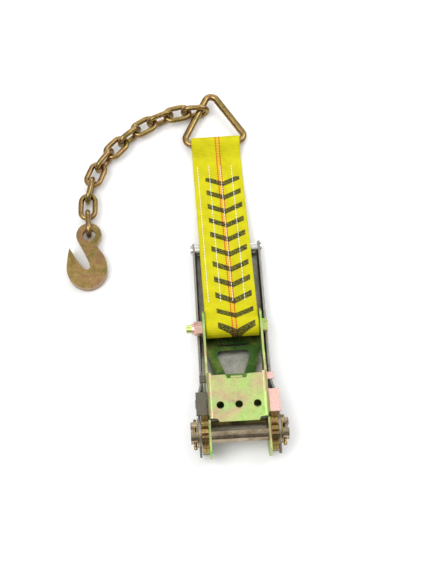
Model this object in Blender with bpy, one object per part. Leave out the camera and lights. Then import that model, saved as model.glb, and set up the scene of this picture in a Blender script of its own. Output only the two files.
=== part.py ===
"""Ratchet strap short end: a closed 3-inch ratchet buckle lying on its face, a yellow webbing
loop bolted into its frame, a delta ring, eleven links of chain and an eye grab hook.

Lengths are in millimetres until a mesh is made. X runs along the spool axis, Y from the spool
to the ring, Z up from the surface that everything lies on. Places are given from the point under
the spool, and MIDDLE moves the finished object so that its footprint is centred."""

import math

import bmesh
import bpy
from mathutils import Matrix, Vector

MM = 0.001
GAP = 0.4

MIDDLE = Vector((-85.92, 263.84, 0))
SPOOL = Vector((0, 0, 37))
SHAFT_R, SHAFT_SLOT, SHAFT_END = 15.3, 3.25, 66.5
SHAFT_HOLE_R = 15.9

FRAME_OUT, FRAME_T, FRAME_BEND, FRAME_LOBE_R = 42.0, 3.0, 6.5, 36.5
BASE_FRONT, BASE_REAR, BASE_Z, BASE_SLOPE = 6.7, 72.0, 62.0, 3.0 / 65.0
BASE_HOLE_R, BASE_HOLES = 5.25, ((-24.5, 29.8), (0.8, 29.8), (26.0, 29.8))

BOLT = Vector((0, 153, 35.5))
BOLT_R, BOLT_FLATS, SLEEVE_R = 6.0, 9.0, 11.0

HANDLE_OUT, HANDLE_T, HANDLE_BEND, HANDLE_JOG = 50.5, 3.0, 6.0, 5.0
HANDLE_TOP, HANDLE_HUB_R, HANDLE_CAM_R = 22.0, 21.0, 33.4
GRIP = Vector((0, 289, 12.5))
GRIP_R, GRIP_ROD_R = 7.5, 4.0

TEETH, TOOTH_TIP_R, TOOTH_ROOT_R, TOOTH_GAP_AT = 12, 30.0, 24.0, 41.0
WHEEL_T, WHEEL_FIRST, WHEEL_STEP = 4.4, 42.5, 4.8

LOCK_Z, LOCK_FRONT = 53.5, 19.5
PAWL_T = 3.0
DRIVE_Z_FRONT, DRIVE_Z_REAR = 19.0, 12.5

STRAP_W, PLY = 76.0, 2.9
STRAP_YAW = math.radians(0.9)
RING_MID = Vector((-5.5, 477.0, 10.4))
RING_YAW, RING_TILT = math.radians(1.8), math.radians(4.9)
RING_WIRE, RING_HALF_BASE, RING_HEIGHT, RING_BEND = 5.55, 53.0, 92.0, 10.0

WIRE, LINK_HALF_GAP, LINK_HALF_INNER, LINK_PLAY = 4.35, 6.4, 14.75, 0.5
LINK_CROWN = LINK_HALF_GAP + WIRE
LINK_TIP = LINK_HALF_INNER + WIRE
FIRST_LINK = Vector((-34.2, 534.5, 15.1))
# Heading of each link from -X towards -Y, its roll from lying flat, and its height
LINKS = (
    (1, 90, 15.1), (11, 0, 15.1), (22, 90, 15.1), (31, 0, 15.1), (40, 90, 15.1), (46, 0, 15.1),
    (54, 90, 15.1), (67, 0, 15.1), (78, 84, 15.1), (88, 0, 15.1), (93, 86, 15.1),
)

HOOK_HOLE_R, HOOK_HANG, HOOK_TILT = 9.6, 1.2, math.radians(4.9)


# ---- shapes in the plane ------------------------------------------------------------------

def arc(cx, cy, r, start, end, steps):
    angles = [math.radians(start + (end - start) * i / steps) for i in range(steps + 1)]
    return [(cx + r * math.cos(a), cy + r * math.sin(a)) for a in angles]


def circle(cx, cy, r, sides=24):
    return arc(cx, cy, r, 0, 360 * (sides - 1) / sides, sides - 1)


def box_loop(x0, y0, x1, y1):
    return [(x0, y0), (x1, y0), (x1, y1), (x0, y1)]


def mirrored(points):
    """The same outline on the -X side, run the other way so that a loop can continue."""
    return [(-x, y) for x, y in reversed(points)]


def fillet(points, radii, steps=5):
    """A closed outline through sharp corners, each rounded by its own radius."""
    out = []
    for i, (p, r) in enumerate(zip(points, radii)):
        p, a, b = Vector(p), Vector(points[i - 1]), Vector(points[(i + 1) % len(points)])
        to_a, to_b = (a - p).normalized(), (b - p).normalized()
        half = to_a.angle(to_b) / 2
        if r <= 0 or half > math.radians(89.5):
            out.append(tuple(p))
            continue
        bisector = (to_a + to_b).normalized()
        centre = p + bisector * (r / math.sin(half))
        start, end = p + to_a * (r / math.tan(half)), p + to_b * (r / math.tan(half))
        for k in range(steps + 1):
            swing = (start - centre).lerp(end - centre, k / steps)
            out.append(tuple(centre + swing.normalized() * r))
    return out


def smooth_loop(points, steps=4):
    """A closed Catmull-Rom curve through the points."""
    out, n = [], len(points)
    for i in range(n):
        p0, p1, p2, p3 = (Vector(points[(i + k) % n]) for k in (-1, 0, 1, 2))
        for k in range(steps):
            t = k / steps
            out.append(tuple(0.5 * (2 * p1 + (p2 - p0) * t + (2 * p0 - 5 * p1 + 4 * p2 - p3) * t * t
                                    + (3 * p1 - p0 - 3 * p2 + p3) * t ** 3)))
    return out


# ---- solids -------------------------------------------------------------------------------

def plate(loops, place, cuts=()):
    """A plate of flat outline and holes, its two faces put in space by place(u, v, w), w 0 or 1.
    Cuts are (axis, value) lines along which the plate bends."""
    flat = bmesh.new()
    for loop in loops:
        verts = [flat.verts.new((u, v, 0)) for u, v in loop]
        for a, b in zip(verts, verts[1:] + verts[:1]):
            flat.edges.new((a, b))
    bmesh.ops.triangle_fill(flat, use_beauty=True, use_dissolve=False, edges=flat.edges[:],
                            normal=(0, 0, 1))
    for axis, value in cuts:
        normal = Vector((1, 0, 0)) if axis == "u" else Vector((0, 1, 0))
        bmesh.ops.bisect_plane(flat, geom=flat.verts[:] + flat.edges[:] + flat.faces[:],
                               dist=1e-5, plane_co=normal * value, plane_no=normal)
    bmesh.ops.triangulate(flat, faces=flat.faces[:])
    bm = bmesh.new()
    low = {v: bm.verts.new(place(v.co.x, v.co.y, 0)) for v in flat.verts}
    top = {v: bm.verts.new(place(v.co.x, v.co.y, 1)) for v in flat.verts}
    for face in flat.faces:
        bm.faces.new([low[v] for v in reversed(face.verts)])
        bm.faces.new([top[v] for v in face.verts])
    for edge in flat.edges:
        if len(edge.link_faces) == 1:
            a, b = edge.verts
            bm.faces.new((low[a], low[b], top[b], top[a]))
    flat.free()
    return bm


def along_x(x0, x1):
    return lambda u, v, w: (x0 + (x1 - x0) * w, u, v)


def loft(rings, closed=False):
    """A body through rings of points with equal counts, its ends filled unless it closes."""
    bm = bmesh.new()
    made = [[bm.verts.new(p) for p in ring] for ring in rings]
    pairs = list(zip(made, made[1:]))
    if closed:
        pairs.append((made[-1], made[0]))
    for a, b in pairs:
        for i in range(len(a)):
            j = (i + 1) % len(a)
            bm.faces.new((a[i], a[j], b[j], b[i]))
    if not closed:
        bm.faces.new(list(reversed(made[0])))
        bm.faces.new(made[-1])
    return bm


def tube(path, radius, sides, closed=False):
    """A round tube along a path, its section carried along without twisting."""
    count = len(path)
    tangents = []
    for i in range(count):
        ahead = path[(i + 1) % count] if closed else path[min(i + 1, count - 1)]
        behind = path[i - 1] if closed else path[max(i - 1, 0)]
        tangents.append((ahead - behind).normalized())
    normal = tangents[0].orthogonal().normalized()
    rings = []
    for p, t in zip(path, tangents):
        normal = (normal - t * normal.dot(t)).normalized()
        side = t.cross(normal)
        rings.append([p + (normal * math.cos(a) + side * math.sin(a)) * radius
                      for a in (2 * math.pi * k / sides for k in range(sides))])
    return loft(rings, closed)


def turned(profile, axis_x=True, sides=24, hexes=()):
    """A body of revolution about X (or Y) from (distance along, radius) steps. A step whose
    index is in hexes has a hexagonal section with that radius to its flats."""
    rings = []
    for i, (along, r) in enumerate(profile):
        ring = []
        for k in range(sides):
            a = 2 * math.pi * k / sides
            rr = r / math.cos((a + math.pi / 6) % (math.pi / 3) - math.pi / 6) if i in hexes else r
            c, s = rr * math.cos(a), rr * math.sin(a)
            ring.append((along, c, s) if axis_x else (c, along, s))
        rings.append(ring)
    return rings


# ---- objects ------------------------------------------------------------------------------

for old in list(bpy.data.objects):
    bpy.data.objects.remove(old, do_unlink=True)

LOOKS = {
    "light dichromate zinc": ((0.66, 0.62, 0.34), 0.34, 0.9),
    "gold dichromate zinc": ((0.55, 0.42, 0.2), 0.36, 0.9),
    "bronze dichromate zinc": ((0.4, 0.33, 0.2), 0.3, 0.9),
    "green dichromate zinc": ((0.2, 0.3, 0.1), 0.36, 0.85),
    "grey zinc": ((0.42, 0.42, 0.4), 0.45, 0.8),
    "bright zinc": ((0.8, 0.8, 0.79), 0.25, 0.95),
    "yellow webbing": ((0.85, 0.78, 0.03), 0.8, 0.0),
}


def add(name, bm, look, body):
    """Makes one node from a mesh in world millimetres, hung from its body's joint."""
    bmesh.ops.recalc_face_normals(bm, faces=bm.faces[:])
    bm.transform(Matrix.Translation(-body.location) @ Matrix.Scale(MM, 4)
                 @ Matrix.Translation(-MIDDLE))
    mesh = bpy.data.meshes.new(name)
    bm.to_mesh(mesh)
    bm.free()
    mesh.shade_smooth()
    mesh.set_sharp_from_angle(angle=math.radians(35))
    colour, roughness, metallic = LOOKS[look]
    material = bpy.data.materials.new(name)
    material.use_nodes = True
    shader = material.node_tree.nodes["Principled BSDF"]
    shader.inputs["Base Color"].default_value = (*colour, 1)
    shader.inputs["Roughness"].default_value = roughness
    shader.inputs["Metallic"].default_value = metallic
    mesh.materials.append(material)
    node = bpy.data.objects.new(name, mesh)
    bpy.context.scene.collection.objects.link(node)
    node.parent = body
    return node


def joint(name, at):
    """An empty on a moving body's joint axis."""
    empty = bpy.data.objects.new(name, None)
    empty.location = (Vector(at) - MIDDLE) * MM
    empty.empty_display_size = 0.01
    bpy.context.scene.collection.objects.link(empty)
    return empty


def moved(bm, matrix):
    bm.transform(matrix)
    return bm


# ---- frame --------------------------------------------------------------------------------

def bend_arc(radius):
    return math.pi / 2 * radius


def channel(half, bend, thickness, top_at, down, jog=None):
    """How a flat pattern folds into a channel: a base across X and two sides, down or up."""
    flat, arc_length, sign = half - bend, bend_arc(bend), -1 if down else 1

    def place(u, v, w):
        side, reach, z = (1 if u >= 0 else -1), abs(u), top_at(v)
        inset = thickness * w
        if reach <= flat:
            return (u, v, z + sign * inset)
        if reach <= flat + arc_length:
            a = (reach - flat) / bend
            r = bend - inset
            return (side * (flat + r * math.sin(a)), v, z + sign * (bend - r * math.cos(a)))
        out = jog(v) if jog else 0
        return (side * (half - inset + out), v, z + sign * (bend + reach - flat - arc_length))

    def unfold(y, z):
        return (flat + arc_length + abs(top_at(y) - z) - bend, y)

    cuts = [("u", s * (flat + arc_length * k / 5)) for k in range(6) for s in (-1, 1)]
    return place, unfold, cuts


root = joint("frame_body", (0, 0, 0))


def base_top(y):
    return BASE_Z + BASE_SLOPE * (y - BASE_FRONT)


place, unfold, cuts = channel(FRAME_OUT, FRAME_BEND, FRAME_T, base_top, True)
front_z = base_top(-31.5) - FRAME_BEND - 0.3
right = [(27, BASE_FRONT), (29, 11), (35, 12), unfold(12, base_top(12) - FRAME_BEND - 0.3)]
right += [unfold(y, z) for y, z in
          [(6, front_z), (-30.5, front_z)]
          + arc(SPOOL.y, SPOOL.z, FRAME_LOBE_R, 152, 322, 26)
          + [(34, 22), (45, 24), (62, 22), (142, 20.5)]
          + arc(161, 36, 17.5, -95, 95, 14)
          + [(106, 52), (94, 57), (86, 59)]]
right += [unfold(78, base_top(78) - FRAME_BEND - 0.2), (35, 75), (34, BASE_REAR),
          (15, BASE_REAR), (13, 66.5)]
slot = [unfold(y, z) for y, z in ((44, 51.3), (83.5, 51.3), (83.5, 55.7), (44, 55.7))]
holes = [[unfold(y, z) for y, z in circle(SPOOL.y, SPOOL.z, SHAFT_HOLE_R, 32)],
         [unfold(y, z) for y, z in circle(BOLT.y, BOLT.z, BOLT_R + 0.5)], slot]
holes += [[(-u, v) for u, v in hole] for hole in holes]
holes += [circle(x, y, BASE_HOLE_R) for x, y in BASE_HOLES]
add("frame_channel", plate([right + mirrored(right)] + holes, place, cuts),
    "light dichromate zinc", root)

bolt = turned([(-66, 4.6), (-65, BOLT_R), (FRAME_OUT + GAP, BOLT_R), (FRAME_OUT + GAP, BOLT_FLATS),
               (50, BOLT_FLATS), (51, BOLT_FLATS - 1.2)], hexes=(3, 4))
add("anchor_bolt", moved(loft(bolt), Matrix.Translation(BOLT)), "green dichromate zinc", root)

nut_in, nut_out = -(FRAME_OUT + GAP), -58.0
nut = turned([(nut_in, BOLT_R + GAP), (nut_in, BOLT_FLATS), (-54.5, BOLT_FLATS), (-54.5, 8.2),
              (nut_out, 7.6), (nut_out, BOLT_R + GAP)], hexes=(1, 2))
add("anchor_nut", moved(loft(nut, True), Matrix.Translation(BOLT)), "gold dichromate zinc", root)

sleeve = turned([(-38.6, BOLT_R + GAP), (-38.6, SLEEVE_R), (38.6, SLEEVE_R),
                 (38.6, BOLT_R + GAP)])
add("anchor_sleeve", moved(loft(sleeve, True), Matrix.Translation(BOLT)),
    "gold dichromate zinc", root)

add("lock_spring_stop", plate([box_loop(-8, 48, 8, 61.4)],
                              lambda u, v, w: (u, 68 + 3 * w, v)), "light dichromate zinc", root)

# ---- spool --------------------------------------------------------------------------------

spool = joint("spool_body", SPOOL)
edge = math.degrees(math.asin(SHAFT_SLOT / SHAFT_R))
half_moon = arc(0, 0, SHAFT_R, edge - 90 + 90, 180 - edge, 14)
for name, turn in (("half_shaft_rear", -90), ("half_shaft_front", 90)):
    c, s = math.cos(math.radians(turn)), math.sin(math.radians(turn))
    outline = [(u * c - v * s, u * s + v * c + SPOOL.z) for u, v in half_moon]
    shaft = plate([outline], along_x(-SHAFT_END, SHAFT_END))
    shaft = add(name, shaft, "bronze dichromate zinc", spool)
    for side in (-1, 1):
        drill = bpy.data.objects.new(f"{name}_drill_{side}", bpy.data.meshes.new("drill"))
        bm = loft(turned([(-20, 2.4), (20, 2.4)], axis_x=False, sides=12))
        bmesh.ops.recalc_face_normals(bm, faces=bm.faces[:])
        bm.transform(Matrix.Scale(MM, 4))
        bm.to_mesh(drill.data)
        bm.free()
        bpy.context.scene.collection.objects.link(drill)
        drill.location = (Vector((side * 60.8, 0, SPOOL.z)) - MIDDLE) * MM
        drill.hide_render, drill.display_type = True, "WIRE"
        cut = shaft.modifiers.new("pin hole", "BOOLEAN")
        cut.operation, cut.object = "DIFFERENCE", drill

wheel_rim = []
for k in range(TEETH):
    middle = TOOTH_GAP_AT + 360 / TEETH * (k + 0.5)
    for off, r in ((-9, TOOTH_ROOT_R), (-3, TOOTH_TIP_R), (3, TOOTH_TIP_R), (9, TOOTH_ROOT_R)):
        a = math.radians(middle + off)
        wheel_rim.append((r * math.cos(a), SPOOL.z + r * math.sin(a)))
key_edge = math.degrees(math.asin((SHAFT_SLOT - 0.3) / (SHAFT_R + 0.35)))
key = arc(0, 0, SHAFT_R + 0.35, key_edge, 180 - key_edge, 16)
keys = [[(v * s, u * s + SPOOL.z) for u, v in key] for s in (-1, 1)]
for side, hand in ((-1, "left"), (1, "right")):
    for layer, place_name in enumerate(("inner", "outer")):
        x0 = WHEEL_FIRST + layer * WHEEL_STEP
        add(f"ratchet_wheel_{hand}_{place_name}",
            plate([wheel_rim] + keys, along_x(side * x0, side * (x0 + WHEEL_T))),
            "gold dichromate zinc", spool)
    washer = plate([circle(0, SPOOL.z, 20, 32), circle(0, SPOOL.z, SHAFT_HOLE_R, 32)],
                   along_x(side * 56.0, side * 57.8))
    add(f"hub_washer_{hand}", washer, "gold dichromate zinc", spool)
    pin = loft(turned([(-23.5, 1.3), (-22.6, 2.2), (-20.6, 2.6), (-18.4, 2.4), (-17.2, 1.9),
                       (18.6, 1.9), (19.4, 1.2)], axis_x=False, sides=12))
    add(f"cotter_pin_{hand}", moved(pin, Matrix.Translation((side * 60.8, 0, SPOOL.z))),
        "gold dichromate zinc", spool)

# ---- handle -------------------------------------------------------------------------------

handle = joint("handle_body", SPOOL)


def jog_out(y):
    t = min(max((78 - y) / 30, 0), 1)
    return HANDLE_JOG * t * t * (3 - 2 * t)


place, unfold, cuts = channel(HANDLE_OUT, HANDLE_BEND, HANDLE_T, lambda y: 0.0, False, jog_out)
cuts += [("v", 48 + 5 * k) for k in range(7)]
low = HANDLE_BEND + 0.2
right = [(40, 62), (44, 66), unfold(70, low)]
right += [unfold(y, z) for y, z in
          [(60, low), (-12, low), (-19, 9.5)]
          + arc(SPOOL.y, SPOOL.z, HANDLE_CAM_R, 233, 190, 8)
          + arc(SPOOL.y, SPOOL.z, HANDLE_HUB_R, 172, 68, 14)
          + [(14, 51.5), (35, 42), (60, 32.5), (92, 24), (104, HANDLE_TOP), (200, HANDLE_TOP)]
          + arc(GRIP.y, GRIP.z, 9.5, 90, -42, 12)]
right += [(43, 284)]
holes = [[unfold(y, z) for y, z in circle(SPOOL.y, SPOOL.z, SHAFT_HOLE_R, 32)],
         [unfold(y, z) for y, z in circle(GRIP.y, GRIP.z, GRIP_ROD_R + 0.5)],
         [unfold(y, z) for y, z in ((38.5, 16.5), (60.5, 16.5), (60.5, 21.5), (38.5, 21.5))]]
holes += [[(-u, v) for u, v in hole] for hole in holes]
add("handle_channel", plate([right + mirrored(right)] + holes, place, cuts), "grey zinc", handle)

grip = turned([(-47.0, GRIP_ROD_R + GAP), (-47.0, GRIP_R), (47.0, GRIP_R),
               (47.0, GRIP_ROD_R + GAP)])
add("grip_tube", moved(loft(grip, True), Matrix.Translation(GRIP)), "bright zinc", handle)
rivet = turned([(-54, 5.2), (-53.2, 6.9), (-50.9, GRIP_R), (-50.9, GRIP_ROD_R),
                (50.9, GRIP_ROD_R), (50.9, GRIP_R), (53.2, 6.9), (54, 5.2)])
add("grip_rivet", moved(loft(rivet), Matrix.Translation(GRIP)), "bright zinc", handle)
add("drive_spring_stop", plate([box_loop(-7, 3.4, 7, 24)],
                               lambda u, v, w: (u, 70 + 3 * w, v)), "grey zinc", handle)

# ---- pawls and their springs --------------------------------------------------------------

lock = joint("lock_pawl_body", (0, 46, LOCK_Z))
right = [(9.5, 46), (42.7, 46), (42.7, LOCK_FRONT), (57.5, LOCK_FRONT), (57.5, 52), (38.6, 52),
         (38.6, 66), (51, 66), (51, 76)]
window = box_loop(-9.5, 51, 9.5, 72)
add("lock_pawl", plate([right + mirrored(right), window],
                       lambda u, v, w: (u, v, LOCK_Z + PAWL_T * (w - 0.5))),
    "green dichromate zinc", lock)

drive = joint("drive_pawl_body", (0, 46, DRIVE_Z_FRONT))


def drive_place(u, v, w):
    t = min(max((v - 56) / 36, 0), 1)
    mid = DRIVE_Z_FRONT + (DRIVE_Z_REAR - DRIVE_Z_FRONT) * t
    return (u, v, mid + PAWL_T * (w - 0.5))


right = [(43, 40), (43, 26.2), (51.6, 26.2), (51.6, 40), (58.4, 40), (58.4, 52), (26, 52),
         (22, 62), (34, 112), (40.5, 130), (40.5, 143), (38, 146)]
window = [(-8, 52.5), (8, 52.5), (9.5, 70), (14, 92), (24, 120), (20, 126), (-20, 126),
          (-24, 120), (-14, 92), (-9.5, 70)]
lip_slot = box_loop(-21, 132, 21, 135)
add("drive_pawl", plate([right + mirrored(right), window, lip_slot], drive_place,
                        [("v", 56), ("v", 92)]), "green dichromate zinc", drive)


def coil(radius, y0, y1, z, turns=6, steps=10):
    points = []
    for k in range(turns * steps + 1):
        a = 2 * math.pi * k / steps
        y = y0 + (y1 - y0) * k / (turns * steps)
        points.append(Vector((radius * math.cos(a), y, z + radius * math.sin(a))))
    return points


add("lock_spring", tube(coil(3.8, 52.0, 67.0, LOCK_Z), 0.6, 6), "bright zinc", root)
add("drive_spring", tube(coil(3.8, 53.6, 69.0, DRIVE_Z_FRONT), 0.6, 6), "bright zinc", handle)

# ---- webbing ------------------------------------------------------------------------------

strap = joint("strap_body", BOLT)
RUN = (RING_MID - BOLT).y / math.cos(STRAP_YAW)
BOLT_EYE, RING_EYE = 12.1, 7.4


def sag(s):
    """Height of the middle of the two plies: over the grip, then down to the surface."""
    stops = ((0, BOLT.z), (60, 33.2), (GRIP.y - BOLT.y, 25.0), (205, 13.5), (265, 4.6),
             (RUN - 30, 3.6), (RUN, RING_MID.z))
    for (s0, z0), (s1, z1) in zip(stops, stops[1:]):
        if s <= s1:
            t = (s - s0) / (s1 - s0)
            return z0 + (z1 - z0) * (t * t * (3 - 2 * t) * 0.5 + t * 0.5)
    return stops[-1][1]


bolt_out, ring_out = BOLT_EYE + PLY, RING_EYE + PLY
stations = [24, 36, 60, 85, 110, 136, 160, 183, 205, 225, 245, 265, 282, RUN - 21]
upper = [(s, sag(s) + PLY + 0.1) for s in stations]
lower = [(s, sag(s) - PLY - 0.1) for s in reversed(stations)]
upper[0], lower[-1] = (20, BOLT.z + 9.4), (20, BOLT.z - 10.2)
upper[-1], lower[0] = (RUN - 19, 9.6), (RUN - 19, 0.1)
outline = (arc(0, BOLT.z, bolt_out, 300, 62, 16) + upper
           + arc(RUN, RING_MID.z, ring_out, 118, -90, 14) + lower)
loops = [outline, circle(0, BOLT.z, BOLT_EYE), circle(RUN, RING_MID.z, RING_EYE, 20)]
webbing = plate(loops, lambda u, v, w: (STRAP_W * (0.5 - w), u, v))
webbing.transform(Matrix.Translation((0, BOLT.y, 0)) @ Matrix.Rotation(STRAP_YAW, 4, "Z"))
add("webbing_loop", webbing, "yellow webbing", strap)

# ---- delta ring ---------------------------------------------------------------------------

ring_at = (Matrix.Translation(RING_MID) @ Matrix.Rotation(RING_YAW, 4, "Z")
           @ Matrix.Rotation(RING_TILT, 4, "X"))
ring_line = fillet([(-RING_HALF_BASE, 0), (RING_HALF_BASE, 0), (0, RING_HEIGHT)],
                   [RING_BEND] * 3, 8)
ring = joint("ring_body", RING_MID)
add("delta_ring", moved(tube([Vector((x, y, 0)) for x, y in ring_line], RING_WIRE, 12, True),
                        ring_at), "gold dichromate zinc", ring)

# ---- chain --------------------------------------------------------------------------------

straight = LINK_TIP - LINK_CROWN
link_line = (arc(straight, 0, LINK_CROWN, -90, 90, 7) + arc(-straight, 0, LINK_CROWN, 90, 270, 7))


def flat_direction(heading):
    a = math.radians(heading)
    return Vector((-math.cos(a), -math.sin(a), 0))


leg_at = 57.0
leg_point = ring_at @ Vector((-RING_HALF_BASE * (1 - leg_at / RING_HEIGHT), leg_at, 0))
tips = []
for i, (heading, roll, height) in enumerate(LINKS):
    direction = flat_direction(heading)
    if i == 0:
        centre = FIRST_LINK.copy()
    else:
        mean = (direction + flat_direction(LINKS[i - 1][0])).normalized()
        centre = tips[-1] - mean * (2 * WIRE + LINK_PLAY) + direction * LINK_TIP
        centre.z = height
    tips.append(centre + direction * LINK_TIP)
    place_link = (Matrix.Translation(centre)
                  @ Matrix.Rotation(math.radians(180 + heading), 4, "Z")
                  @ Matrix.Rotation(math.radians(roll), 4, "X"))
    hang = joint(f"link_{i + 1:02d}_body", tips[-2] if i else leg_point)
    add(f"chain_link_{i + 1:02d}",
        moved(tube([Vector((x, y, 0)) for x, y in link_line], WIRE, 8, True), place_link),
        "gold dichromate zinc", hang)

# ---- grab hook ----------------------------------------------------------------------------

# The outline in millimetres from the eye's middle: right, then down towards the bend
HOOK_LINE = smooth_loop([
    (-11.5, -15.1), (0, -19), (11.5, -15.1), (18.4, -4.6), (18, 6), (12.6, 14.5), (12.4, 21),
    (18, 29), (23.4, 38), (26.2, 50), (25, 65), (16.5, 78), (4, 85), (-9, 85.2), (-21.5, 79.4),
    (-30, 69), (-33.6, 56), (-32.6, 40), (-30.2, 22.5), (-28.2, 22.2), (-22, 34), (-14.5, 46.5),
    (-8, 54.6), (-3.2, 57), (0.6, 54.2), (1, 49), (-3.4, 37.5), (-9, 25), (-14, 14.5),
    (-18.4, 5), (-18.2, -5.6)], 2)
hook_eye = tips[-1] + Vector((0, -HOOK_HANG, 0))


def hook_place(u, v, w):
    half = 4.8 + 2.0 * min(max((v - 12) / 25, 0), 1)
    return (u, -v, half * (2 * w - 1))


hook = joint("hook_body", tips[-1])
hook_mesh = plate([HOOK_LINE, circle(0, 0, HOOK_HOLE_R, 16)], hook_place,
                  [("v", 12), ("v", 24), ("v", 37)])
add("grab_hook", moved(hook_mesh, Matrix.Translation(hook_eye)
                       @ Matrix.Rotation(HOOK_TILT, 4, "X")), "gold dichromate zinc", hook)
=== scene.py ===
"""Looks of the ratchet strap short end: camera, studio, and a finished surface on every piece."""

import math

import bmesh
import bpy
import numpy as np
from mathutils import Matrix, Vector

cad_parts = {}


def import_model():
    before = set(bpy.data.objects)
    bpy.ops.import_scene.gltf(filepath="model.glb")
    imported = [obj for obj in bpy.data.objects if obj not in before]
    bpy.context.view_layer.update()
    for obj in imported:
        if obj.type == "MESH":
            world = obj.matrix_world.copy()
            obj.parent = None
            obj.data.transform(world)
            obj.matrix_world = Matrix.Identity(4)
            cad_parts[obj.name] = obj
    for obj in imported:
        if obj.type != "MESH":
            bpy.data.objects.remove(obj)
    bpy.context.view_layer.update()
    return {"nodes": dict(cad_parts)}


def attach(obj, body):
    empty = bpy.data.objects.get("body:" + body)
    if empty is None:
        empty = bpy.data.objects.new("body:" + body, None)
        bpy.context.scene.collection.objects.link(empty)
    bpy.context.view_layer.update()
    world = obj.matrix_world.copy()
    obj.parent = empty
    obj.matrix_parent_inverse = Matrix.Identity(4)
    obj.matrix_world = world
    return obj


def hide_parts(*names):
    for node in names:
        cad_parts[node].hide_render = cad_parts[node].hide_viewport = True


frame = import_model()
NODES = frame["nodes"]

# Places are in millimetres from the point under the spool, as in the model; MIDDLE is the
# middle of its footprint.
MM = 0.001
MIDDLE = Vector((-85.92, 263.84, 0))
BOLT = Vector((0, 153, 35.5))
GRIP = Vector((0, 289, 12.5))
RING_MID = Vector((-5.5, 477.0, 10.4))
RING_YAW, RING_TILT = math.radians(1.8), math.radians(4.9)
STRAP_W, PLY, STRAP_YAW = 76.0, 2.9, math.radians(0.9)
BOLT_EYE, RING_EYE = 12.1, 7.4
WIRE, LINK_CROWN, LINK_TIP = 4.35, 10.75, 19.1
LINKS = 11
RING_WIRE, RING_HALF_BASE, RING_HEIGHT, RING_BEND = 5.5, 53, 92, 10.0
LOCK_EAR_X = 42
SEAM_ROWS = (-31, -13.5, 4.2, 21.6)
SEAM_START, STITCH_PITCH, STITCHES = 42, 5.1, 48

# The weave, in metres
RIB_PITCH, WARP_PITCH, TRACER_PITCH, MARK_PITCH = 0.0019, 0.0013, 0.0036, 0.0262

SHARP_ANGLE = math.radians(35)

# The camera stands 1.49 m from the surface, 66 degrees above it
CAMERA_AIM, CAMERA_DISTANCE = Vector((-17.9, 230.0, 0)), 1489.0
CAMERA_PITCH, CAMERA_HEADING = math.radians(66), math.radians(3.4)
CAMERA_LENS = 62.4


def world(point):
    return (Vector(point) - MIDDLE) * MM


# ---- materials ----------------------------------------------------------------------------

class Nodes:
    """A small builder for one material's node tree."""

    def __init__(self, name, roughness=0.4, metallic=0.0):
        self.material = bpy.data.materials.new(name)
        self.material.use_nodes = True
        self.tree = self.material.node_tree
        self.shader = self.tree.nodes["Principled BSDF"]
        self.shader.inputs["Roughness"].default_value = roughness
        self.shader.inputs["Metallic"].default_value = metallic
        self.place = self.tree.nodes.new("ShaderNodeTexCoord").outputs["Object"]

    def put(self, socket, value):
        if isinstance(value, bpy.types.NodeSocket):
            self.tree.links.new(value, socket)
        else:
            socket.default_value = value

    def math(self, operation, a, b=0.0):
        node = self.tree.nodes.new("ShaderNodeMath")
        node.operation = operation
        self.put(node.inputs[0], a)
        self.put(node.inputs[1], b)
        return node.outputs[0]

    def noise(self, scale, detail=3.0, distortion=0.0):
        node = self.tree.nodes.new("ShaderNodeTexNoise")
        self.put(node.inputs["Vector"], self.place)
        node.inputs["Scale"].default_value = scale
        node.inputs["Detail"].default_value = detail
        node.inputs["Distortion"].default_value = distortion
        return node.outputs["Fac"]

    def mapped(self, turn, move):
        node = self.tree.nodes.new("ShaderNodeMapping")
        self.put(node.inputs["Vector"], self.place)
        node.inputs["Rotation"].default_value = (0, 0, turn)
        node.inputs["Location"].default_value = move
        return node.outputs["Vector"]

    def ramp(self, factor, stops):
        node = self.tree.nodes.new("ShaderNodeValToRGB")
        self.put(node.inputs["Fac"], factor)
        while len(node.color_ramp.elements) < len(stops):
            node.color_ramp.elements.new(0.5)
        for element, (at, colour) in zip(node.color_ramp.elements, stops):
            element.position = at
            element.color = (*colour, 1)
        return node.outputs["Color"]

    def mix(self, factor, a, b):
        node = self.tree.nodes.new("ShaderNodeMix")
        node.data_type = "RGBA"
        self.put(node.inputs["Factor"], factor)
        for socket, value in ((node.inputs[6], a), (node.inputs[7], b)):
            self.put(socket, (*value, 1) if isinstance(value, tuple) else value)
        return node.outputs[2]

    def span(self, value, low, high, to_low=0.0, to_high=1.0):
        node = self.tree.nodes.new("ShaderNodeMapRange")
        self.put(node.inputs["Value"], value)
        for name, number in (("From Min", low), ("From Max", high),
                             ("To Min", to_low), ("To Max", to_high)):
            node.inputs[name].default_value = number
        return node.outputs["Result"]

    def colour(self, value):
        self.put(self.shader.inputs["Base Color"], value)

    def rough(self, value):
        self.put(self.shader.inputs["Roughness"], value)

    def bump(self, height, strength, distance):
        node = self.tree.nodes.new("ShaderNodeBump")
        node.inputs["Strength"].default_value = strength
        node.inputs["Distance"].default_value = distance
        self.put(node.inputs["Height"], height)
        self.tree.links.new(node.outputs["Normal"], self.shader.inputs["Normal"])


def plated(name, film, shade, roughness=(0.26, 0.42), patch=34.0, grain=0.35):
    """Zinc plate under a chromate film: the film's colour drifts in patches, thins to bare
    zinc in specks, and the drawn or forged steel shows through as fine grain."""
    n = Nodes(name, metallic=0.92)
    drift = n.noise(patch, 3, distortion=0.6)
    colour = n.ramp(n.span(drift, 0.3, 0.7), film)
    fine = n.noise(420, 4)
    colour = n.mix(n.span(fine, 0.42, 0.75, 0.0, 0.5), colour, shade)
    n.colour(colour)
    n.rough(n.span(n.noise(150, 4), 0.3, 0.7, *roughness))
    n.bump(n.noise(900, 3), grain, 0.0004)
    return n.material


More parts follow.
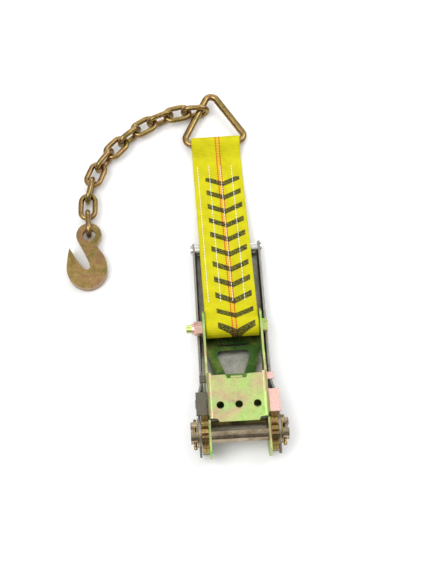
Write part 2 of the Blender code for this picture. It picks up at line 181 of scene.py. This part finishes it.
GOLD = plated("gold chromate on steel", [
    (0.0, (0.2, 0.17, 0.05)), (0.3, (0.29, 0.2, 0.065)), (0.55, (0.36, 0.245, 0.085)),
    (0.8, (0.33, 0.18, 0.09)), (1.0, (0.22, 0.2, 0.06))], (0.13, 0.08, 0.03), (0.14, 0.3), 45)
PLATE = plated("pale chromate on sheet steel", [
    (0.0, (0.22, 0.48, 0.1)), (0.3, (0.4, 0.56, 0.17)), (0.55, (0.46, 0.48, 0.2)),
    (0.8, (0.5, 0.36, 0.22)), (1.0, (0.36, 0.5, 0.18))], (0.28, 0.3, 0.11), (0.28, 0.45), 24)
BRONZE = plated("dark chromate on the spool", [
    (0.0, (0.2, 0.15, 0.09)), (0.5, (0.36, 0.29, 0.19)), (1.0, (0.48, 0.4, 0.28))],
    (0.14, 0.1, 0.06), (0.1, 0.2), 60, 0.15)
GREEN = plated("green chromate on sheet steel", [
    (0.0, (0.03, 0.08, 0.015)), (0.45, (0.06, 0.13, 0.025)), (0.75, (0.14, 0.19, 0.04)),
    (1.0, (0.22, 0.22, 0.08))], (0.03, 0.05, 0.015), (0.25, 0.42), 40)
GREY = plated("dull grey zinc", [
    (0.0, (0.2, 0.2, 0.17)), (0.5, (0.32, 0.32, 0.28)), (1.0, (0.3, 0.25, 0.2))],
    (0.14, 0.12, 0.09), (0.34, 0.5), 30, 0.5)
BRIGHT = plated("bright zinc", [
    (0.0, (0.6, 0.6, 0.56)), (0.6, (0.74, 0.74, 0.7)), (1.0, (0.66, 0.64, 0.56))],
    (0.45, 0.44, 0.4), (0.16, 0.28), 50, 0.15)
PINK = plated("pink chromate on steel", [
    (0.0, (0.74, 0.43, 0.34)), (0.5, (0.78, 0.53, 0.46)), (1.0, (0.66, 0.5, 0.34))],
    (0.5, 0.34, 0.24), (0.24, 0.4), 70)
TAN = plated("tan and green chromate on the bolt", [
    (0.0, (0.5, 0.68, 0.16)), (0.5, (0.62, 0.74, 0.24)), (1.0, (0.66, 0.56, 0.3))],
    (0.4, 0.42, 0.14), (0.2, 0.36), 80)

def lock_pawl_material():
    """Chromate that runs from grey on the left ear over green to pink on the right ear."""
    n = Nodes("grey to pink chromate on the lock pawl", metallic=0.92)
    split = n.tree.nodes.new("ShaderNodeSeparateXYZ")
    n.put(split.inputs[0], n.place)
    left, right = world((-LOCK_EAR_X, 0, 0)).x, world((LOCK_EAR_X, 0, 0)).x
    film = n.ramp(n.span(split.outputs[0], left, right), [
        (0.0, (0.13, 0.12, 0.09)), (0.2, (0.16, 0.15, 0.1)), (0.32, (0.08, 0.15, 0.03)),
        (0.68, (0.12, 0.2, 0.05)), (0.8, (0.7, 0.42, 0.36)), (1.0, (0.76, 0.48, 0.42))])
    n.colour(n.mix(n.span(n.noise(420, 4), 0.42, 0.75, 0.0, 0.35), film, (0.09, 0.08, 0.05)))
    n.rough(n.span(n.noise(150, 4), 0.3, 0.7, 0.28, 0.44))
    n.bump(n.noise(900, 3), 0.35, 0.0004)
    return n.material


MIXED = lock_pawl_material()


def webbing_material():
    """Woven polyester: cross ribs and warp lines, two tracer threads, and printed marks."""
    n = Nodes("yellow woven webbing", roughness=0.62)
    split = n.tree.nodes.new("ShaderNodeSeparateXYZ")
    aim = world(BOLT)
    c, s = math.cos(-STRAP_YAW), math.sin(-STRAP_YAW)
    move = (-(aim.x * c - aim.y * s), -(aim.x * s + aim.y * c), 0)
    n.put(split.inputs[0], n.mapped(turn=-STRAP_YAW, move=move))
    across, along = split.outputs[0], split.outputs[1]
    rib = n.math("SINE", n.math("MULTIPLY", along, 2 * math.pi / RIB_PITCH))
    warp = n.math("SINE", n.math("MULTIPLY", across, 2 * math.pi / WARP_PITCH))
    weave = n.math("MULTIPLY", rib, n.math("ADD", n.math("MULTIPLY", warp, 0.35), 0.75))
    cloth = n.ramp(n.span(n.noise(55, 3), 0.3, 0.7),
                   [(0.0, (0.54, 0.49, 0.003)), (1.0, (0.66, 0.62, 0.008))])
    # Painted shade: the low rib valleys of the weave are darkened towards dark yellow, where the
    # grooves would lie in shade.
    cloth = n.mix(n.span(weave, -1, 1, 0.22, 0.0), cloth, (0.3, 0.23, 0.0))
    middle = n.math("ABSOLUTE", n.math("SUBTRACT", across, 0.0027))
    pale = n.span(middle, 0.0026, 0.0030, 1, 0)
    cloth = n.mix(n.math("MULTIPLY", pale, 0.6), cloth, (0.72, 0.36, 0.03))
    line = n.span(n.math("ABSOLUTE", n.math("SUBTRACT", middle, 0.0029)), 0.0006, 0.0010, 1, 0)
    dashes = n.math("SINE", n.math("MULTIPLY", along, 2 * math.pi / TRACER_PITCH))
    broken = n.span(dashes, -0.9, -0.4)
    cloth = n.mix(n.math("MULTIPLY", line, broken), cloth, (0.5, 0.03, 0.005))
    mark_across = n.math("ABSOLUTE", n.math("SUBTRACT", across, 0.006))
    step = n.math("ADD", along, n.math("MULTIPLY", mark_across, -0.45))
    repeat = n.math("FRACT", n.math("DIVIDE", step, MARK_PITCH))
    bar = n.math("ABSOLUTE", n.math("SUBTRACT", repeat, 0.5))
    bars = n.span(bar, 0.17, 0.185, 1, 0)
    band = n.span(mark_across, 0.0262, 0.0268, 1, 0)
    ends = n.math("MULTIPLY", n.span(along, -0.016, -0.0155), n.span(along, 0.262, 0.263, 1, 0))
    ink = n.math("MULTIPLY", n.math("MULTIPLY", bars, band), ends)
    worn = n.span(n.noise(1400, 2), 0.33, 0.44)
    ink = n.math("MULTIPLY", ink, n.math("MULTIPLY", worn, n.span(weave, -1.1, -0.5, 0.75, 0.98)))
    n.colour(n.mix(ink, cloth, (0.012, 0.015, 0.012)))
    n.rough(n.span(n.noise(300, 2), 0.3, 0.7, 0.55, 0.75))
    n.shader.inputs["Specular IOR Level"].default_value = 0.15
    n.bump(n.math("ADD", weave, n.math("MULTIPLY", n.noise(2200, 2), 0.5)), 0.5, 0.0004)
    return n.material


WEBBING = webbing_material()


def thread_material():
    n = Nodes("white thread", roughness=0.6)
    n.colour(n.ramp(n.noise(900, 2), [(0.3, (0.72, 0.72, 0.66)), (0.7, (0.9, 0.9, 0.86))]))
    n.bump(n.noise(2600, 2), 0.4, 0.0002)
    return n.material


THREAD = thread_material()


# ---- making pieces ------------------------------------------------------------------------

def piece(name, bm, material, body, slot, *instead_of):
    """One finished piece from a mesh in metres, riding on its body in place of CAD nodes."""
    bmesh.ops.recalc_face_normals(bm, faces=bm.faces[:])
    mesh = bpy.data.meshes.new(name)
    bm.to_mesh(mesh)
    bm.free()
    mesh.shade_smooth()
    mesh.set_sharp_from_angle(angle=SHARP_ANGLE)
    mesh.materials.append(material)
    made = bpy.data.objects.new(name, mesh)
    bpy.context.scene.collection.objects.link(made)
    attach(made, body)
    if instead_of:
        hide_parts(*instead_of)
    return made


def loft(rings, closed=False):
    bm = bmesh.new()
    made = [[bm.verts.new(p) for p in ring] for ring in rings]
    pairs = list(zip(made, made[1:])) + ([(made[-1], made[0])] if closed else [])
    for a, b in pairs:
        for i in range(len(a)):
            j = (i + 1) % len(a)
            bm.faces.new((a[i], a[j], b[j], b[i]))
    if not closed:
        bm.faces.new(list(reversed(made[0])))
        bm.faces.new(made[-1])
    return bm


def tube(path, radius, sides=24, closed=False, swell=None):
    """A round bar along a path; swell(i) scales its radius, as at a weld."""
    count, rings = len(path), []
    tangents = []
    for i in range(count):
        ahead = path[(i + 1) % count] if closed else path[min(i + 1, count - 1)]
        behind = path[i - 1] if closed else path[max(i - 1, 0)]
        tangents.append((ahead - behind).normalized())
    normal = tangents[0].orthogonal().normalized()
    for i, (p, t) in enumerate(zip(path, tangents)):
        normal = (normal - t * normal.dot(t)).normalized()
        side = t.cross(normal)
        r = radius * (swell(i) if swell else 1)
        rings.append([p + (normal * math.cos(a) + side * math.sin(a)) * r
                      for a in (2 * math.pi * k / sides for k in range(sides))])
    return loft(rings, closed)


def arc(cx, cy, r, start, end, steps):
    angles = [math.radians(start + (end - start) * i / steps) for i in range(steps + 1)]
    return [(cx + r * math.cos(a), cy + r * math.sin(a)) for a in angles]


def paint(material, *names):
    """A CAD node whose shape is right keeps it, and takes a finished material."""
    for name in names:
        node = NODES[name]
        for slot in node.material_slots:
            slot.material = material


# ---- chain --------------------------------------------------------------------------------

def axes_of(node):
    """Middle and the long, wide and thin directions of a link, from its own vertices."""
    points = np.array([v.co for v in node.data.vertices])
    middle = points.mean(0)
    _, _, axes = np.linalg.svd(points - middle, full_matrices=False)
    return Vector(middle), [Vector(a) for a in axes]


straight = LINK_TIP - LINK_CROWN
link_line = arc(straight, 0, LINK_CROWN, -90, 90, 16)
link_line += [(x, LINK_CROWN) for x in (2.2, 0, -2.2)]
link_line += arc(-straight, 0, LINK_CROWN, 90, 270, 16)
weld = {17: 1.02, 18: 1.045, 19: 1.02}  # swelling by station, at the middle of one side
for i in range(1, LINKS + 1):
    name = f"chain_link_{i:02d}"
    middle, (along, wide, thin) = axes_of(NODES[name])
    path = [middle + (along * x + wide * y) * MM for x, y in link_line]
    piece(f"link_{i:02d}_forged", tube(path, (WIRE - 0.18) * MM, 24, True,
                                       lambda k: weld.get(k, 1.0)),
          GOLD, f"link_{i:02d}", "gold_dichromate", name)

# ---- delta ring ---------------------------------------------------------------------------

ring_at = (Matrix.Translation(RING_MID) @ Matrix.Rotation(RING_YAW, 4, "Z")
           @ Matrix.Rotation(RING_TILT, 4, "X"))


def fillet(points, r, steps):
    """A closed outline with every corner rounded to radius r."""
    out = []
    for i, p in enumerate(points):
        p, a, b = Vector(p), Vector(points[i - 1]), Vector(points[(i + 1) % len(points)])
        to_a, to_b = (a - p).normalized(), (b - p).normalized()
        half = to_a.angle(to_b) / 2
        centre = p + (to_a + to_b).normalized() * (r / math.sin(half))
        start, end = p + to_a * (r / math.tan(half)), p + to_b * (r / math.tan(half))
        for k in range(steps + 1):
            out.append(centre + (start - centre).lerp(end - centre, k / steps).normalized() * r)
    return out


ring_line = [world(ring_at @ p.to_3d()) for p in
             fillet([(-RING_HALF_BASE, 0), (RING_HALF_BASE, 0), (0, RING_HEIGHT)],
                    RING_BEND, 18)]
piece("delta_ring_forged", tube(ring_line, RING_WIRE * MM, 28, True), GOLD, "ring",
      "gold_dichromate", "delta_ring")

# ---- painted CAD --------------------------------------------------------------------------

paint(PLATE, "frame_channel", "lock_spring_stop")
paint(GREY, "handle_channel", "drive_spring_stop")
paint(GREEN, "drive_pawl")
paint(MIXED, "lock_pawl")
paint(TAN, "anchor_bolt")
paint(PINK, "anchor_nut")
paint(BRONZE, "half_shaft_front", "half_shaft_rear")
paint(BRIGHT, "grip_tube", "grip_rivet", "lock_spring", "drive_spring")
paint(GOLD, "anchor_sleeve", "grab_hook", "hub_washer_left", "hub_washer_right",
      "cotter_pin_left", "cotter_pin_right",
      *(f"ratchet_wheel_{a}_{b}" for a in ("left", "right") for b in ("inner", "outer")))

# ---- webbing ------------------------------------------------------------------------------

RUN = (RING_MID - BOLT).y / math.cos(STRAP_YAW)


def sag(s):
    """Height of the loop's middle at distance s from the bolt: over the grip, down to the
    surface, and up into the ring."""
    stops = ((0, BOLT.z), (60, 33.2), (GRIP.y - BOLT.y, 25.0), (205, 13.5), (265, 4.6),
             (RUN - 30, 3.6), (RUN, RING_MID.z))
    for (s0, z0), (s1, z1) in zip(stops, stops[1:]):
        if s <= s1:
            t = (s - s0) / (s1 - s0)
            return z0 + (z1 - z0) * (t * t * (3 - 2 * t) * 0.5 + t * 0.5)
    return stops[-1][1]


stations = np.linspace(24, RUN - 21, 60)
smooth_sag = np.convolve(np.pad([sag(s) for s in stations], 4, "edge"), np.ones(9) / 9, "valid")
half = PLY / 2
middle_line = arc(0, BOLT.z, BOLT_EYE + half, 300, 62, 24)
middle_line += [(s, z + half + 0.1) for s, z in zip(stations[1:-1], smooth_sag[1:-1])]
middle_line += arc(RUN, RING_MID.z, RING_EYE + half, 118, -100, 20)
middle_line += [(s, z - half - 0.1) for s, z in reversed(list(zip(stations[1:-1],
                                                                 smooth_sag[1:-1])))]


def resample(points, count):
    """The closed line through points as evenly spaced stations, and its length."""
    p = np.array(points + points[:1])
    reach = np.concatenate([[0], np.cumsum(np.linalg.norm(np.diff(p, axis=0), axis=1))])
    at = np.linspace(0, reach[-1], count, endpoint=False)
    return np.stack([np.interp(at, reach, p[:, i]) for i in (0, 1)], 1), reach[-1]


line, loop_length = resample(middle_line, 300)
for _ in range(4):
    line = (np.roll(line, 1, 0) + 2 * line + np.roll(line, -1, 0)) / 4
strap_at = Matrix.Translation((0, BOLT.y, 0)) @ Matrix.Rotation(STRAP_YAW, 4, "Z")
ahead = np.roll(line, -1, 0) - np.roll(line, 1, 0)
normals = np.stack([ahead[:, 1], -ahead[:, 0]], 1)
normals /= np.linalg.norm(normals, axis=1)[:, None]
flat_x = [-STRAP_W / 2 + 1 + (STRAP_W - 2) * k / 16 for k in range(17)]
back_x = [STRAP_W / 2 - 1 - (STRAP_W - 2) * k / 16 for k in range(17)]
edge_x = STRAP_W / 2 - 0.1
section = ([(x, half - 0.05) for x in flat_x] + [(edge_x, 0.7), (edge_x, -0.7)]
           + [(x, -half + 0.05) for x in back_x] + [(-edge_x, -0.7), (-edge_x, 0.7)])
rings = [[world(strap_at @ Vector((x, p[0] + n[0] * z, p[1] + n[1] * z))) for x, z in section]
         for p, n in zip(line, normals)]
webbing = piece("webbing_woven", loft(rings, True), WEBBING, "strap", "yellow_webbing",
                "webbing_loop")

# ---- seam ---------------------------------------------------------------------------------

seam = bmesh.new()
for x in SEAM_ROWS:
    for k in range(STITCHES):
        s = SEAM_START + k * STITCH_PITCH
        for up in (1, -1):
            at = np.array([world(strap_at @ Vector((x, s + d, np.interp(s + d, stations, smooth_sag)
                                                    + up * (PLY + 0.2 + lift))))
                           for d, lift in ((-1.9, -0.35), (-1.2, 0.1), (1.2, 0.1), (1.9, -0.35))])
            rings = []
            for p in at:
                rings.append([Vector(p) + Vector((math.cos(a) * 0.5, 0, math.sin(a) * 0.28)) * MM
                              for a in (math.pi * 2 * q / 6 for q in range(6))])
            one = loft(rings)
            mesh = bpy.data.meshes.new("stitch")
            one.to_mesh(mesh)
            one.free()
            seam.from_mesh(mesh)
            bpy.data.meshes.remove(mesh)
piece("seam_stitches", seam, THREAD, "strap", "yellow_webbing")

# ---- studio -------------------------------------------------------------------------------

floor_mesh = bpy.data.meshes.new("floor")
FLOOR_HALF, FLOOR_Z = 6, -0.0006
floor_mesh.from_pydata([(x * FLOOR_HALF, y * FLOOR_HALF, FLOOR_Z)
                        for x, y in ((-1, -1), (1, -1), (1, 1), (-1, 1))],
                       [], [(0, 1, 2, 3)])
floor = bpy.data.objects.new("floor", floor_mesh)
bpy.context.scene.collection.objects.link(floor)
paper = Nodes("white paper", roughness=0.9)
paper.colour(paper.ramp(paper.noise(3, 2),
                        [(0.3, (0.93, 0.93, 0.93)), (0.7, (0.95, 0.95, 0.95))]))
floor_mesh.materials.append(paper.material)


def lamp(name, at, aim, size, power):
    data = bpy.data.lights.new(name, "AREA")
    data.shape, data.size, data.size_y, data.energy = "RECTANGLE", size[0], size[1], power
    light = bpy.data.objects.new(name, data)
    light.location = at
    light.rotation_euler = (Vector(aim) - Vector(at)).to_track_quat("-Z", "Y").to_euler()
    bpy.context.scene.collection.objects.link(light)


lamp("key", (-0.9, -0.5, 1.9), (0, 0, 0), (1.4, 1.4), 26)
lamp("fill", (1.3, 0.5, 1.6), (0, 0, 0), (1.2, 1.6), 15)
lamp("rim", (0.1, 1.9, 1.0), (0, 0, 0), (1.8, 0.6), 12)
studio = bpy.data.worlds.new("studio")
studio.use_nodes = True
sky = studio.node_tree
height = sky.nodes.new("ShaderNodeSeparateXYZ")
sky.links.new(sky.nodes.new("ShaderNodeTexCoord").outputs["Generated"], height.inputs[0])
fade = sky.nodes.new("ShaderNodeValToRGB")
for element, at, light in zip(fade.color_ramp.elements, (0.3, 0.8), (0.07, 1)):
    element.position, element.color = at, (light, light, light, 1)
sky.links.new(height.outputs["Z"], fade.inputs["Fac"])
sky.links.new(fade.outputs["Color"], sky.nodes["Background"].inputs["Color"])
sky.nodes["Background"].inputs["Strength"].default_value = 0.95
bpy.context.scene.world = studio
bpy.context.scene.view_settings.view_transform = "Standard"

camera = bpy.data.objects.new("camera", bpy.data.cameras.new("camera"))
look = Vector((math.sin(CAMERA_HEADING) * math.cos(CAMERA_PITCH),
               math.cos(CAMERA_HEADING) * math.cos(CAMERA_PITCH), -math.sin(CAMERA_PITCH)))
camera.location = world(CAMERA_AIM - look * CAMERA_DISTANCE)
camera.rotation_euler = look.to_track_quat("-Z", "Y").to_euler()
camera.data.sensor_width, camera.data.lens = 36.0, CAMERA_LENS
bpy.context.scene.collection.objects.link(camera)
bpy.context.scene.camera = camera
